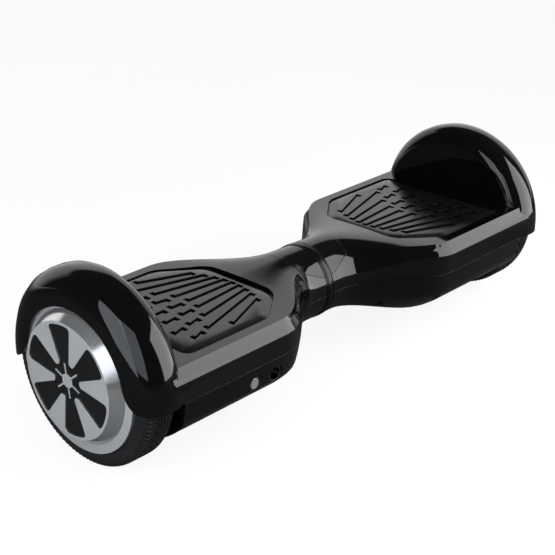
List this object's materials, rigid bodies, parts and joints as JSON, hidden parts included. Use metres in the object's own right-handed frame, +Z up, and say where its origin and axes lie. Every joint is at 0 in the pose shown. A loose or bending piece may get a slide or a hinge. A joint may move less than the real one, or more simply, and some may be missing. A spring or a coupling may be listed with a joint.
{
  "type": "self-balancing board",
  "caption": "Two-wheeled self-balancing board: black housing halves that twist about a waist, hub-motor wheels under arches, rubber foot mats and a side power button.",
  "frame": {"origin": "on the ground, under the middle of the neck between the two halves, at the centre of the box's base", "axes": "+X along the wheel axis towards the half with the battery, -Y towards the side with the power button, +Z up"},
  "size_m": [0.584, 0.186, 0.177],
  "materials": {
    "shell": "gloss black moulding",
    "window": "clear gloss over black",
    "mat": "satin black rubber",
    "tread": "dull black rubber",
    "seal": "dull black felt and rubber",
    "hub_shell": "cast and turned",
    "hub_silver": "satin silver with a polished cone",
    "hub_black": "satin black",
    "cast_frame": "die-cast, as cast",
    "steel": "turned steel",
    "fastener": "blackened steel",
    "laminations": "stacked electrical steel",
    "copper": "enamelled copper wire",
    "magnet": "nickel-plated blocks",
    "nylon": "natural nylon",
    "circuit": "green solder mask",
    "gate_black": "black moulding",
    "fins": "extruded",
    "cells": "blue shrink wrap over steel cells",
    "bezel": "satin black ring",
    "button": "satin silver cap",
    "socket": "thin plated ring"
  },
  "bodies": {
    "left_half": {"left_upper_shell": "shell", "left_lower_shell": "shell", "left_indicator_window": "window", "left_chassis": "cast_frame", "left_axle_clamp": "cast_frame", "left_clamp_bolts": "fastener", "left_axle": "steel", "left_stator_core": "laminations", "left_stator_windings": "copper", "left_sensor_board": "circuit", "left_light_gates": "gate_black", "left_shell_screws": "fastener", "pivot_tube": "steel", "retaining_ring": "fastener", "pivot_seal": "seal", "limiter_pin": "steel", "main_board": "circuit", "heat_sink": "fins", "button_bezel": "bezel", "charge_socket": "socket"},
    "right_half": {"right_upper_shell": "shell", "right_lower_shell": "shell", "right_indicator_window": "window", "right_chassis": "cast_frame", "right_axle_clamp": "cast_frame", "right_clamp_bolts": "fastener", "right_axle": "steel", "right_stator_core": "laminations", "right_stator_windings": "copper", "right_sensor_board": "circuit", "right_light_gates": "gate_black", "right_shell_screws": "fastener", "pivot_bush": "nylon", "battery_pack": "cells"},
    "left_wheel": {"left_tyre": "tread", "left_rim": "hub_shell", "left_hub_cap": "hub_silver", "left_hub_insert": "hub_black", "left_hub_star": "hub_silver", "left_motor_cover": "hub_shell", "left_cover_screws": "fastener", "left_rotor_ring": "laminations", "left_magnets": "magnet", "left_bearings": "steel"},
    "right_wheel": {"right_tyre": "tread", "right_rim": "hub_shell", "right_hub_cap": "hub_silver", "right_hub_insert": "hub_black", "right_hub_star": "hub_silver", "right_motor_cover": "hub_shell", "right_cover_screws": "fastener", "right_rotor_ring": "laminations", "right_magnets": "magnet", "right_bearings": "steel"},
    "left_pad": {"left_foot_mat": "mat"},
    "right_pad": {"right_foot_mat": "mat"},
    "start_button": {"power_button": "button"}
  },
  "joints": [
    {"name": "twist", "type": "hinge", "parent": "left_half", "child": "right_half", "pos_m": [0, 0, 0.08], "axis": [1, 0, 0], "range_deg": [-12, 12]},
    {"name": "left_wheel_spin", "type": "hinge", "parent": "left_half", "child": "left_wheel", "pos_m": [-0.2594, 0, 0.084], "axis": [1, 0, 0], "continuous": true},
    {"name": "right_wheel_spin", "type": "hinge", "parent": "right_half", "child": "right_wheel", "pos_m": [0.2594, 0, 0.084], "axis": [1, 0, 0], "continuous": true},
    {"name": "left_pad_press", "type": "slide", "parent": "left_half", "child": "left_pad", "axis": [0, 0, -1], "range_m": [0, 0.0012], "stiffness_N_per_m": 20000},
    {"name": "right_pad_press", "type": "slide", "parent": "right_half", "child": "right_pad", "axis": [0, 0, -1], "range_m": [0, 0.0012], "stiffness_N_per_m": 20000},
    {"name": "button_press", "type": "slide", "parent": "left_half", "child": "start_button", "axis": [0, 1, 0], "range_m": [0, 0.001], "stiffness_N_per_m": 300}
  ]
}
